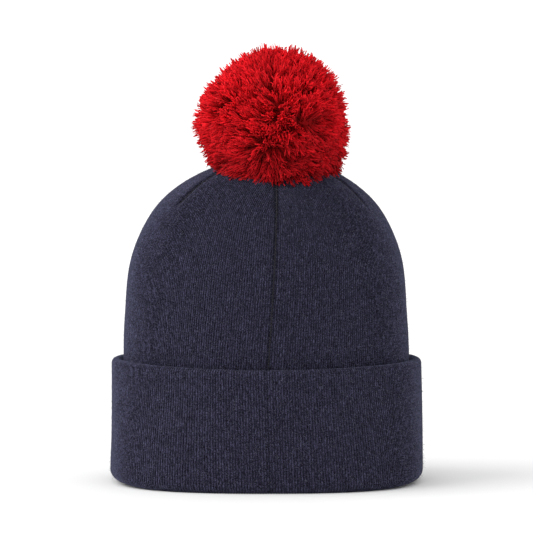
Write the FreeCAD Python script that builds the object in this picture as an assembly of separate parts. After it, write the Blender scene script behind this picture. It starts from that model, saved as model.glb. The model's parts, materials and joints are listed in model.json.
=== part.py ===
import FreeCAD
import Part
import math
import os
from FreeCAD import Vector

# A cuffed knit hat with a yarn pom-pom, standing on the fold of its cuff. Millimetres.
# +Z is up, +Y is the wearer's front and +X the wearer's right hand. The origin is the centre of
# the mouth, on the surface that the hat stands on.
#
# The hat is one long knitted tube, pushed into itself to make two layers and then turned up, so
# a cut through the wall meets four layers: lining, outer_shell, cuff_back and cuff_face. Each is
# its own solid, and they meet face to face at the folds. The knit's plan is an oval: radii of the
# knit are half widths, left to right, and its depths are that times depth_ratio.

# ---- the knitted tube ----
hat_width = 188.0            # across the outer shell, above the cuff
hat_depth = 152.0            # front to back at the same height
hat_height = 214.0           # standing surface to the outside of the apex
dome_height = 96.0           # the rounded top of that
knit_wall = 2.4              # one layer of the knit
layer_gap = 0.4              # loose space between two layers
apex_flat = 7.0              # half width of the flat at the apex, under the pom-pom
apex_drift = 5.0             # how far the apex is drawn to the wearer's right
drift_power = 3              # how late in the dome it drifts
dome_steps = 8               # bands that the dome is drawn with

# ---- the turned-up cuff ----
cuff_height = 82.0           # standing surface to the top edge
cuff_foot = 3.0              # width of the flat strip on which the soft fold stands
cuff_stand_off = 3.8         # space between the shell and the cuff
cuff_lean = 1.0              # how far the cuff leans in towards its top edge
edge_gap = 1.6               # space inside the fold of the top edge
fold_steps = 3               # bands in each quarter turn of the fold's outside
edge_steps = 4               # and in the half turn of the top edge
inside_steps = 2             # and in either on its inside

# ---- the seams ----
gore_count = 6               # wedges of the crown, with one seam between each two
sides_per_gore = 8           # flat sides that the knit's plan has in each
furrow_depth = 0.8           # the furrow that a seam pulls into the knit
furrow_width = 2.6
furrow_share = 0.45          # of a flat side, the most that half a furrow takes near the apex
thread_radius = 0.35
thread_clearance = 0.06
thread_sides = 6             # flat sides of a thread's or a cord ring's section

# ---- the tie that holds the pom-pom ----
cord_radius = 0.8            # nylon tie cord, used double
cord_spread = 1.5            # each tail, from the middle of the hat
cord_clearance = 0.15        # between a cord and the hole that it passes through
knot_radius = 2.4            # the knot between hat and pom-pom, which is also its pivot
knot_clearance = 0.8         # between that knot and the apex
end_clearance = 0.4          # between the knot and the ends of the cords that it joins
knot_sides = 14              # flat sides of either knot
inner_knot_radius = 3.4
inner_knot_height = 4.4
tail_length = 11.0           # the longer cut end below the inside knot
tail_difference = 2.2        # by which the other one is shorter
binding_turns = 3
binding_radius = 5.0         # the ring that the wraps make round the yarn's waist
neck_way_in = 0.2            # the yarn's channels for the neck run past its ends by these
neck_way_out = 0.02          # parts of its length, below and above

# ---- the pom-pom ----
pom_width = 98.0
pom_lift = 22.0              # its widest line, above the pivot
pom_top = 47.0               # its top, above that line
pom_hem = 4.0                # the lower edge of its upper yarn, above the pivot
pom_draw_in = 2.0            # how far that edge lies inside the widest line
fringe_draw_in = 2.0         # and the lowest yarn inside that again
pom_sides = 36               # flat sides of its plan
pom_steps = 8                # bands from the widest line to the top
pom_flat = 0.3               # part of the last band that is left off, as a small flat on top
pom_side_steps = 3           # bands from the widest line down to the hem
fringe_clearance = 0.7       # between the lowest yarn and the shell
fringe_part = 0.4            # parting between two tufts of the lowest yarn
fringe_heart = 14.0          # bare ring round the knot, which the lowest yarn leaves
fringe_reach = 26.0          # the lowest yarn, below the upper yarn's edge, before it meets the hat

# ---- the backing button inside ----
button_radius = 6.5
button_thickness = 2.0
button_dish = 0.7            # depth of the dish in its face
button_rim = 1.6             # width of the rim around the dish
button_clearance = 0.5       # below the lining's flat, as the lining curves down beside it

# ---- the two labels inside ----
tape_wall = 0.35             # one layer of satin tape
care_length = 24.0
care_height = 32.0
care_drop = 4.0              # top of this label, below the start of the dome
care_fold_gap = 0.25         # between its two leaves
care_stand_off = 1.0         # its hinge line, from the lining
care_rest_angle = 9.0        # how far it stands off the curved lining
size_width = 34.0
size_height = 14.0
size_drop = 22.0             # top of this label, below the foot of the other
size_wall = 0.7
label_clearance = 0.1        # between a label and what it is sewn to
stitch_width = 0.6
stitch_proud = 0.35
stitch_length = 2.2
stitch_count = 4             # in the row along each short side of the size label
tack_width = 1.4
tack_height = 3.0

# ---- sizes that follow ----
depth_ratio = hat_depth / hat_width
shell_out = hat_width / 2
shell_in = shell_out - knit_wall
lining_out = shell_in - layer_gap
lining_in = lining_out - knit_wall
dome_base = hat_height - dome_height
layer_pitch = knit_wall + layer_gap
knit_sides = gore_count * sides_per_gore
dome_lean = math.acos(apex_flat / shell_out)

cuff_back_out = shell_out + cuff_stand_off + knit_wall
cuff_out = cuff_back_out + layer_pitch
cuff_out_top = cuff_out - cuff_lean
edge_radius = knit_wall + edge_gap / 2
edge_base = cuff_height - edge_radius
fold_radius = (cuff_out - lining_in - cuff_foot) / 2
inner_fold_radius = fold_radius - layer_pitch

care_bottom = dome_base - care_drop - care_height
size_bottom = care_bottom - size_drop - size_height

cord_hole = cord_spread + cord_radius + cord_clearance
button_top = hat_height - layer_pitch - knit_wall - button_clearance
inner_knot_top = button_top - button_thickness - end_clearance
pivot_height = hat_height + knot_clearance + knot_radius
pom_middle = pivot_height + pom_lift
pom_radius = pom_width / 2
hem_height = pivot_height + pom_hem
hem_radius = pom_radius - pom_draw_in
binding_height = binding_turns * 2 * cord_radius

UP = Vector(0, 0, 1)
BACK = -math.pi / 2


# ---- outlines: closed rings of points, and the faces between them ----

def circle(radius, height, sides, ratio=1.0):
    """A level ring of points round the origin's axis, the first of them at the back."""
    points = []
    for side in range(sides):
        turn = BACK + side * 2 * math.pi / sides
        points.append(Vector(radius * math.cos(turn), radius * ratio * math.sin(turn), height))
    return points


def oval(radius, height, lean=0.0):
    """The knit's outline. lean is the angle by which its surface has turned from upright."""
    drift = Vector(apex_drift * (lean / dome_lean) ** drift_power, 0, 0)
    return [point + drift for point in circle(radius, height, knit_sides, depth_ratio)]


def straight_out(ring, point, lean):
    """The direction square to the knit's surface at a point of one of its outlines."""
    middle = (ring[0].x + ring[len(ring) // 2].x) / 2
    level_way = Vector(point.x - middle, point.y / depth_ratio ** 2, 0).normalize()
    return level_way * math.cos(lean) + UP * math.sin(lean)


def furrowed(radius, height, lean, depths):
    """The knit's outline with a notch at each seam, as deep as depths says and 0 for none.

    Where the sides grow short near the apex the notch narrows with them.
    """
    ring = oval(radius, height, lean)
    points = []
    for place, point in enumerate(ring):
        gore, offset = divmod(place, sides_per_gore)
        if offset or gore >= len(depths):
            points.append(point)
            continue
        before = ring[place - 1] - point
        after = ring[(place + 1) % knit_sides] - point
        half = min(furrow_width / 2, furrow_share * before.Length)
        depth = depths[gore] * half * 2 / furrow_width
        points.append(point + before.normalize() * half)
        points.append(point - straight_out(ring, point, lean) * depth)
        points.append(point + after.normalize() * half)
    return points


def quad(a, b, c, d):
    """A flat face through four points, or a ruled one where they don't lie in a plane."""
    if abs((b - a).cross(c - a).dot(d - a)) < 1e-6:
        return Part.Face(Part.makePolygon([a, b, c, d, a]))
    return Part.makeRuledSurface(Part.makeLine(a, b), Part.makeLine(d, c))


def level(*rings):
    """The level face inside the first ring and outside the second."""
    wires = [Part.makePolygon(ring + ring[:1]) for ring in rings]
    return Part.makeFace(wires, "Part::FaceMakerBullseye")


def strip(rings):
    """The faces through a run of rings, with a level face where two are at one height."""
    faces = []
    for ring, following in zip(rings, rings[1:]):
        if abs(ring[0].z - following[0].z) < 1e-9:
            wide, narrow = sorted((ring, following), key=lambda points: -points[0].Length)
            faces.append(level(wide, narrow))
            continue
        for place in range(len(ring)):
            ahead = (place + 1) % len(ring)
            faces.append(quad(ring[place], ring[ahead], following[ahead], following[place]))
    return faces


def solid_of(faces):
    shell = Part.makeShell(faces)
    shell.sewShape()
    solid = Part.makeSolid(shell)
    if solid.Volume < 0:
        solid.reverse()
    return solid


def stack(rings):
    """The solid with these rings as its outlines, closed level at both ends."""
    return solid_of(strip(rings) + [level(rings[0]), level(rings[-1])])


def hoop(inside, outside):
    """The solid between two runs of rings that start and end at the same heights."""
    ends = [level(outside[0], inside[0]), level(outside[-1], inside[-1])]
    return solid_of(strip(outside) + strip(inside) + ends)


def arc_points(centre, radius, start, end, steps):
    """Points (radius, height) of a section along an arc, in degrees from straight outwards."""
    points = []
    for step in range(steps + 1):
        turn = math.radians(start + (end - start) * step / steps)
        points.append((centre[0] + radius * math.cos(turn), centre[1] + radius * math.sin(turn)))
    return points


def dome_points(offset):
    """The dome's section at an offset from the shell's face: (radius, height, lean) upwards."""
    points = []
    for step in range(dome_steps + 1):
        lean = dome_lean * step / dome_steps
        height = dome_base + (dome_height + offset) * math.sin(lean) / math.sin(dome_lean)
        points.append(((shell_out + offset) * math.cos(lean), height, lean))
    return points


def bar(points, radius):
    """A thread along a run of points in one plane through the hat's axis."""
    sections = []
    for place, point in enumerate(points):
        before = points[max(place - 1, 0)]
        after = points[min(place + 1, len(points) - 1)]
        turn = FreeCAD.Rotation(UP, after - before)
        ring = []
        for side in range(thread_sides):
            angle = 2 * math.pi * side / thread_sides
            ring.append(point + turn * Vector(math.cos(angle), math.sin(angle), 0) * radius)
        sections.append(Part.makePolygon(ring + ring[:1]))
    return Part.makeLoft(sections, True, True)


def rod(start, end, radius):
    return Part.makeCylinder(radius, (end - start).Length, start, end - start)


def spun(shape, degrees):
    copy = shape.copy()
    copy.rotate(Vector(0, 0, 0), UP, degrees)
    return copy


# ---- the knit ----

def dome_rings(offset):
    """Outlines up the wall and the dome, at an offset from the shell's outer face."""
    rings = [oval(shell_out + offset, fold_radius)]
    rings += [oval(*point) for point in dome_points(offset)]
    return rings


def through_hole():
    return Part.makeCylinder(cord_hole, 2 * hat_height, Vector(apex_drift, 0, 0))


def outer_shell():
    """The layer that shows above the cuff, with a furrow at each seam of the crown."""
    back_only = [furrow_depth] + [0] * (gore_count - 1)
    every_seam = [furrow_depth] * gore_count
    no_seam = [0] * gore_count
    outside = [furrowed(shell_out, fold_radius, 0, back_only)]
    for step, point in enumerate(dome_points(0)):
        depths = back_only if step == 0 else no_seam if step == dome_steps else every_seam
        outside.append(furrowed(*point, depths))
    inside = dome_rings(-knit_wall)
    faces = strip(outside) + strip(inside)
    faces += [level(outside[0], inside[0]), level(outside[-1]), level(inside[-1])]
    return solid_of(faces).cut(through_hole())


def lining():
    """The same tube's other end, inside the shell."""
    outside, inside = dome_rings(-layer_pitch), dome_rings(-layer_pitch - knit_wall)
    faces = strip(outside) + strip(inside)
    faces += [level(outside[0], inside[0]), level(outside[-1]), level(inside[-1])]
    return solid_of(faces).cut(through_hole())


def bottom_fold(radius, steps):
    """Section points of a U under the wall: down inside, along the foot and up outside."""
    inner = (lining_in + fold_radius, fold_radius)
    outer = (cuff_out - fold_radius, fold_radius)
    return arc_points(inner, radius, 180, 270, steps), arc_points(outer, radius, 270, 360, steps)


def cuff_face():
    """The layer that shows: from the lining's end, under the fold, up, and over the top edge."""
    seam = [furrow_depth / 2]
    edge_middle = (cuff_out_top - edge_radius, edge_base)
    down, up = bottom_fold(fold_radius, fold_steps)
    over = arc_points(edge_middle, edge_radius, 0, 180, edge_steps)
    outside = [oval(*point) for point in down]
    outside.append(furrowed(*up[0], 0, [0]))
    outside += [furrowed(*point, 0, seam) for point in up[1:] + over]
    down, up = bottom_fold(fold_radius - knit_wall, inside_steps)
    over = arc_points(edge_middle, edge_radius - knit_wall, 0, 180, inside_steps)
    inside = [oval(*point) for point in down + up + over]
    return hoop(inside, outside)


def cuff_back():
    """The hidden layer of the cuff, from the shell's end up to the underside of the top edge."""
    top_in = cuff_out_top - 2 * edge_radius
    down, up = bottom_fold(inner_fold_radius, inside_steps)
    outside = [oval(*point) for point in down + up + [(top_in + knit_wall, edge_base)]]
    down, up = bottom_fold(inner_fold_radius - knit_wall, inside_steps)
    inside = [oval(*point) for point in down + up + [(top_in, edge_base)]]
    return hoop(inside, outside)


# ---- the seams ----

def seam_thread(gore, bottom):
    """The linking thread in the bottom of one seam's furrow, from a height up to the apex."""
    steepness = math.hypot(furrow_width / 2, furrow_depth) / (furrow_width / 2)
    lift = thread_radius * steepness + thread_clearance
    route = [(shell_out, bottom, 0.0)] if bottom < dome_base else []
    route += dome_points(0)[0 if route else 1:]
    points = []
    for radius, height, lean in route:
        plain = oval(radius, height, lean)
        depth = 0 if lean == dome_lean else furrow_depth
        notched = furrowed(radius, height, lean, [depth] * gore_count)
        outward = straight_out(plain, plain[gore * sides_per_gore], lean)
        points.append(notched[gore * (sides_per_gore + 2) + 1] + outward * lift)
    return bar(points, thread_radius)


def back_seam_thread():
    """The seam that shows: up the middle of the back, from inside the cuff to the apex."""
    return seam_thread(0, fold_radius)


def dart_seam_threads():
    """The seams of the crown's other darts, from the dome's first band to the apex."""
    return Part.makeCompound([seam_thread(gore, dome_base) for gore in range(1, gore_count)])


def small_ring(radius, thickness, height, sides):
    """A ring of cord lying level."""
    section = arc_points((radius, height), thickness, 0, 360, thread_sides)[:-1]
    rings = [circle(*point, sides) for point in section]
    return solid_of([face for pair in zip(rings, rings[1:] + rings[:1]) for face in strip(pair)])


def apex_gather_thread():
    """The draw thread that closes the tips of the gores into a ring round the tie."""
    height = hat_height + thread_radius + thread_clearance
    return small_ring(cord_hole + 2 * thread_radius, thread_radius, height, knit_sides // 2)


# ---- the tie and what anchors it inside ----

def tie_tails():
    """The two ends of the tie, through the hole, the button and the inside knot."""
    top = hat_height + knot_clearance - end_clearance
    bottom = inner_knot_top - inner_knot_height - tail_length
    tails = []
    for side in (-1, 1):
        place = Vector(side * cord_spread, 0, 0)
        shorter = 0 if side < 0 else tail_difference
        tails.append(rod(place + UP * (bottom + shorter), place + UP * top, cord_radius))
    return Part.makeCompound(tails)


def tail_bores(clearance):
    bores = []
    for side in (-1, 1):
        bores.append(Part.makeCylinder(cord_radius + clearance, 2 * hat_height,
                                       Vector(side * cord_spread, 0, 0)))
    return Part.makeCompound(bores)


def backing_button():
    """The flat button that spreads the pull of the tie over the lining."""
    button = Part.makeCylinder(button_radius, button_thickness,
                               Vector(0, 0, button_top - button_thickness))
    dish = Part.makeCylinder(button_radius - button_rim, button_dish,
                             Vector(0, 0, button_top - button_thickness))
    edges = [edge for edge in button.Edges if len(edge.Vertexes) == 1]
    return button.makeChamfer(button_dish / 2, edges).cut(dish).cut(tail_bores(cord_clearance))


def ball(radius, half_height, centre):
    """A knot pulled tight, drawn as a faceted ball round a point of the axis."""
    rings = []
    for step in range(1, knot_sides // 2):
        turn = -math.pi / 2 + 2 * math.pi * step / knot_sides
        rings.append(circle(radius * math.cos(turn), centre + half_height * math.sin(turn),
                            knot_sides))
    return stack(rings)


def tie_knot_inner():
    """The knot under the button, pulled tight, that the cut ends hang from."""
    half_height = inner_knot_height / 2
    knot = ball(inner_knot_radius, half_height, inner_knot_top - half_height)
    return knot.cut(tail_bores(thread_clearance))


# ---- the knot that the pom-pom turns on ----

def tie_knot_outer():
    """The knot between the hat and the yarn, which sits in the middle of the apex."""
    return ball(knot_radius, knot_radius, pivot_height)


def neck_ends(side):
    """Where one strand of the neck leaves the knot and where it meets the binding."""
    low = Vector(side * cord_spread, 0, pivot_height + knot_radius + end_clearance)
    high = Vector(side * binding_radius, 0, pom_middle - binding_height / 2 - end_clearance)
    return low, high


def tie_neck():
    """The two strands between the knot and the binding, inside the yarn."""
    return Part.makeCompound([rod(*neck_ends(side), cord_radius) for side in (-1, 1)])


def pom_binding():
    """The turns of cord drawn tight round the middle of the bundle of yarn."""
    first = pom_middle - binding_height / 2 + cord_radius
    turns = []
    for turn in range(binding_turns):
        height = first + turn * 2 * cord_radius
        turns.append(small_ring(binding_radius, cord_radius - thread_clearance, height,
                                pom_sides // 2))
    return Part.makeCompound(turns)


# ---- the yarn ----

def pom_strands():
    """The cut yarn from the lower edge of the pom-pom up, as one bundle round the binding."""
    rings = []
    for step in range(pom_side_steps):
        part = 1 - step / pom_side_steps
        radius = pom_radius - pom_draw_in * part ** 2
        rings.append(circle(radius, pom_middle - (pom_lift - pom_hem) * part, pom_sides))
    for step in range(pom_steps):
        turn = math.pi / 2 * step / (pom_steps - pom_flat)
        rings.append(circle(pom_radius * math.cos(turn), pom_middle + pom_top * math.sin(turn),
                            pom_sides))
    bundle = stack(rings)
    low = Vector(0, 0, pom_middle - binding_height / 2 - end_clearance)
    height = binding_height + 2 * end_clearance
    reach = cord_radius + cord_clearance
    groove = Part.makeCylinder(binding_radius + reach, height, low)
    groove = groove.cut(Part.makeCylinder(binding_radius - reach, height, low))
    bundle = bundle.cut(groove)
    for side in (-1, 1):
        low, high = neck_ends(side)
        neck = high - low
        bundle = bundle.cut(rod(low - neck * neck_way_in, high + neck * neck_way_out, reach))
    return bundle


def lowest_yarn():
    """The ring of yarn that rests on the crown, under the rest, cut to the shape of the dome."""
    top = hem_height - fringe_part
    bottom = top - fringe_reach
    outside = [circle(hem_radius - fringe_draw_in, bottom, pom_sides),
               circle(hem_radius, top, pom_sides)]
    under = stack(dome_rings(fringe_clearance))
    under.translate(Vector(-apex_drift, 0, 0))
    yarn = stack(outside).cut(under)
    return yarn.cut(Part.makeCylinder(fringe_heart, fringe_reach, Vector(0, 0, bottom)))


def quarter_of_yarn(degrees):
    """One tuft of the lowest yarn: a quarter, parted from its neighbours."""
    wedge = Part.makeBox(pom_width, pom_width, pom_width, Vector(0, 0, hem_height - pom_width))
    wedge.translate(Vector(fringe_part, fringe_part, 0) * math.sqrt(0.5) * 0.5)
    wedge = spun(wedge, degrees - 45)
    piece = lowest_yarn().common(wedge)
    return piece.Solids[0]


def pom_fringe_right():
    return quarter_of_yarn(0)


def pom_fringe_front():
    return quarter_of_yarn(90)


def pom_fringe_left():
    return quarter_of_yarn(180)


def pom_fringe_back():
    return quarter_of_yarn(270)


# ---- the labels inside ----

def lining_band(inset, thickness, low, high):
    """A hoop that follows the inside of the lining."""
    outside = [oval(lining_in - inset, low), oval(lining_in - inset, high)]
    inside = [oval(lining_in - inset - thickness, low), oval(lining_in - inset - thickness, high)]
    return hoop(inside, outside)


def size_label():
    """A plain woven label, flat against the lining under the back seam."""
    band = lining_band(label_clearance, size_wall, size_bottom, size_bottom + size_height)
    window = Part.makeBox(size_width, hat_depth, size_height,
                          Vector(-size_width / 2, -hat_depth, size_bottom))
    return band.common(window)


def size_label_stitches():
    """Bar stitches over the short sides of that label."""
    band = lining_band(label_clearance + size_wall, stitch_proud, size_bottom,
                       size_bottom + size_height)
    pitch = size_height / stitch_count
    windows = []
    for side in (-1, 1):
        for row in range(stitch_count):
            low = size_bottom + pitch * (row + 0.5) - stitch_width / 2
            middle = side * (size_width / 2 - stitch_length)
            windows.append(Part.makeBox(stitch_length, hat_depth, stitch_width,
                                        Vector(middle - stitch_length / 2, -hat_depth, low)))
    return band.common(Part.makeCompound(windows))


def care_hinge():
    """The foot of the line that the care label turns about, on the back seam of the lining."""
    return Vector(0, -lining_in * depth_ratio + care_stand_off, 0)


def care_label():
    """A folded satin tape, caught in the seam along its two short ends."""
    leaf = Part.makeBox(care_length, tape_wall, care_height, Vector(0, 0, care_bottom))
    apart = (tape_wall + care_fold_gap) / 2
    front, back = leaf.copy(), leaf.copy()
    front.translate(Vector(0, apart - tape_wall / 2, 0))
    back.translate(Vector(0, -apart - tape_wall / 2, 0))
    fold = Part.makeCylinder(apart + tape_wall / 2, care_height, Vector(care_length, 0, care_bottom))
    fold = fold.cut(Part.makeCylinder(apart - tape_wall / 2, care_height,
                                      Vector(care_length, 0, care_bottom)))
    half = Part.makeBox(care_length, pom_width, care_height,
                        Vector(care_length, -pom_width / 2, care_bottom))
    root = Part.makeBox(tape_wall, 2 * apart, care_height, Vector(0, -apart, care_bottom))
    label = front.fuse([back, fold.common(half), root]).removeSplitter()
    label.rotate(Vector(0, 0, 0), UP, care_rest_angle)
    label.translate(care_hinge())
    return label


def care_label_tacks():
    """The two tacks that hold the ends of the tape in the seam, just above and below it."""
    tacks = []
    deep = care_stand_off + tape_wall
    for low in (care_bottom - tack_height - label_clearance,
                care_bottom + care_height + label_clearance):
        place = Vector(-tack_width / 2, -lining_in * depth_ratio + label_clearance, low)
        tacks.append(Part.makeBox(tack_width, deep, tack_height, place))
    return Part.makeCompound(tacks)


KNIT = [outer_shell, lining, cuff_face, cuff_back, back_seam_thread, dart_seam_threads,
        size_label, size_label_stitches, care_label, care_label_tacks]

# These are drawn round the origin's axis and then moved to the apex.
ON_THE_APEX = [apex_gather_thread, tie_tails, tie_knot_inner, backing_button,
               tie_knot_outer, tie_neck, pom_binding, pom_strands,
               pom_fringe_right, pom_fringe_front, pom_fringe_left, pom_fringe_back]

os.makedirs("parts", exist_ok=True)
for make in KNIT + ON_THE_APEX:
    piece = make()
    if make in ON_THE_APEX:
        piece.translate(Vector(apex_drift, 0, 0))
    piece.exportStep(os.path.join("parts", make.__name__ + ".step"))
    print(f"{make.__name__:22s} solids {len(piece.Solids)} valid {piece.isValid()}"
          f" volume {piece.Volume:10.1f}")
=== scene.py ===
import json
import math

import bmesh
import bpy
import numpy as np
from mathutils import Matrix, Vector

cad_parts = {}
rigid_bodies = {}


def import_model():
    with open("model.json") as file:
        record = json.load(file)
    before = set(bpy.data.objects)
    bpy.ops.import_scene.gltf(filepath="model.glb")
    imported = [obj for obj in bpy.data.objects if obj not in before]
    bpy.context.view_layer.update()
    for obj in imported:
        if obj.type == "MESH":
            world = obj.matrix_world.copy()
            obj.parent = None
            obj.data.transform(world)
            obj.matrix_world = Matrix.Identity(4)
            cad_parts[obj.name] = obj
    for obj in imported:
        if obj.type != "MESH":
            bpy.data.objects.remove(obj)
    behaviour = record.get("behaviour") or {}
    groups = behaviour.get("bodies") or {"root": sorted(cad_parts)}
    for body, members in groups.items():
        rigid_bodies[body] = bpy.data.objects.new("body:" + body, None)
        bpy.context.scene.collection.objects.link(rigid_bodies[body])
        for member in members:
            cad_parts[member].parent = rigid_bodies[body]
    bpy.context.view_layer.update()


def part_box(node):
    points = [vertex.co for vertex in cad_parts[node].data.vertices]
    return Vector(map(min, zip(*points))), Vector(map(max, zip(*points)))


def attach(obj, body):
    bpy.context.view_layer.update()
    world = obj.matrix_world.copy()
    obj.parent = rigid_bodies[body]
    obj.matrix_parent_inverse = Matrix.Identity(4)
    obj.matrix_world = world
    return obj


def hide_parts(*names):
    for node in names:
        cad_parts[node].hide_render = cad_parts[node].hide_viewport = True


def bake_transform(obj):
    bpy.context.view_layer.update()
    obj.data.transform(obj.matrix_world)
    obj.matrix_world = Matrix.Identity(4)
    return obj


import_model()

scene = bpy.context.scene

# ---- Camera ----
# The hat is seen squarely from behind, a little from above, with a long lens, so that the cuff's
# rim and foot show as shallow arcs.


def placed(name, data):
    """A new object in the scene."""
    made = bpy.data.objects.new(name, data)
    scene.collection.objects.link(made)
    return made


camera_height_angle = math.radians(3.9)
camera_distance = 3.0
picture_width = 0.3519
aim = Vector((0.0, 0.0, 0.1414))
camera_data = bpy.data.cameras.new("camera")
camera_data.sensor_width = 36.0
camera_data.lens = camera_data.sensor_width * camera_distance / picture_width
camera_data.clip_end = 40.0
camera = placed("camera", camera_data)
camera.location = aim + camera_distance * Vector((0, -math.cos(camera_height_angle),
                                                  math.sin(camera_height_angle)))
camera.rotation_euler = (math.pi / 2 - camera_height_angle, 0, 0)
scene.camera = camera

# ---- Floor and light ----
# A white table that runs on out of sight, white walls all round, and one wide, soft window high
# up on the left.

scene.view_settings.view_transform = "Standard"
scene.view_settings.look = "None"


def material(name):
    """A new material, its node tree and its Principled shader."""
    made = bpy.data.materials.new(name)
    made.use_nodes = True
    return made, made.node_tree, made.node_tree.nodes["Principled BSDF"]


def feed(tree, node, sockets):
    """Gives a node's inputs their values: constants, outputs, or nodes for their first output."""
    for key, value in sockets.items():
        if isinstance(value, bpy.types.Node):
            value = value.outputs[0]
        if isinstance(value, bpy.types.NodeSocket):
            tree.links.new(value, node.inputs[key])
        else:
            node.inputs[key].default_value = value


def add_node(tree, kind, sockets=None, **settings):
    """A new node with its settings, its inputs fed."""
    made = tree.nodes.new(kind)
    for name, value in settings.items():
        setattr(made, name, value)
    feed(tree, made, sockets or {})
    return made


def mesh_object(name, points, faces):
    """A smooth-shaded mesh in the scene."""
    mesh = bpy.data.meshes.new(name)
    mesh.from_pydata([tuple(point) for point in points], [], faces)
    mesh.update()
    mesh.shade_smooth()
    return placed(name, mesh)


floor_reach = 16.0
floor = mesh_object("floor", [(-floor_reach, -floor_reach, 0), (floor_reach, -floor_reach, 0),
                              (floor_reach, floor_reach, 0), (-floor_reach, floor_reach, 0)],
                    [(0, 1, 2, 3)])
table_white, table_tree, table_shader = material("table_white")
table_grain = add_node(table_tree, "ShaderNodeTexNoise", {"Scale": 3.0})
table_tone = add_node(table_tree, "ShaderNodeMapRange", {
    "To Min": 0.86, "To Max": 0.94, "Value": table_grain.outputs["Fac"]})
feed(table_tree, table_shader, {
    "Roughness": table_tone, "Base Color": (0.87, 0.87, 0.87, 1),
    "Specular IOR Level": 0.1})
floor.data.materials.append(table_white)

white_room = bpy.data.worlds.new("white_room")
scene.world = white_room
white_room.use_nodes = True
feed(white_room.node_tree, white_room.node_tree.nodes["Background"],
     {"Color": (1, 1, 1, 1), "Strength": 1.03})

window_data = bpy.data.lights.new("wide_window", "SUN")
window_data.energy = 1.85
window_data.angle = math.radians(55)
window = placed("wide_window", window_data)
window.rotation_euler = Vector((1.8, 0.42, -1.30)).to_track_quat("-Z", "Y").to_euler()

# ---- Lining ----
# The inner end of the knitted tube: the hat is one long tube of fine jersey in a marled navy
# yarn, pushed into itself, so the lining is closed at the top in six gores like the outer layer.

wale_count = 360
course_pitch = 0.0021
rib_height = 0.00034
knit_wall = 0.0024
yarn_dark = (0.0038, 0.0024, 0.0082, 1)
yarn_pale = (0.0910, 0.0880, 0.1620, 1)
BACK = -math.pi / 2

shell_low, shell_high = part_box("outer_shell")
lining_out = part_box("lining")[1].x
cuff_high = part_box("cuff_face")[1]
button_low, button_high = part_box("backing_button")
shell_out = shell_high.x
depth_ratio = shell_high.y / shell_high.x
fold_top = shell_low.z
hat_top = shell_high.z
dome_base = 0.118
apex_x = (button_low.x + button_high.x) / 2
gore_count = 6
gore_angle = 2 * math.pi / gore_count
dart_start = math.radians(39.0)
tie_hole = 0.0026
foot_flatness = 0.50
foot_flat_reach = 0.075


def sum_of(tree, operation, *values):
    """A maths node on sockets or numbers, and its output."""
    made = add_node(tree, "ShaderNodeMath", dict(enumerate(values)), operation=operation)
    return made.outputs[0]


def tone_ramp(tree, value, dark, pale, start=0.0, end=1.0):
    """A colour ramp from dark to pale on a value, and its colour."""
    ramp = add_node(tree, "ShaderNodeValToRGB", {"Fac": value})
    for stop, place, colour in zip(ramp.color_ramp.elements, (start, end), (dark, pale)):
        stop.position, stop.color = place, colour
    return ramp.outputs["Color"]


def multiplied(tree, factor, a, b):
    """A colour times another, as far as a factor says."""
    return add_node(tree, "ShaderNodeMix", {"Factor": factor, "A": a, "B": b},
                    data_type="RGBA", blend_type="MULTIPLY").outputs["Result"]


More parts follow.
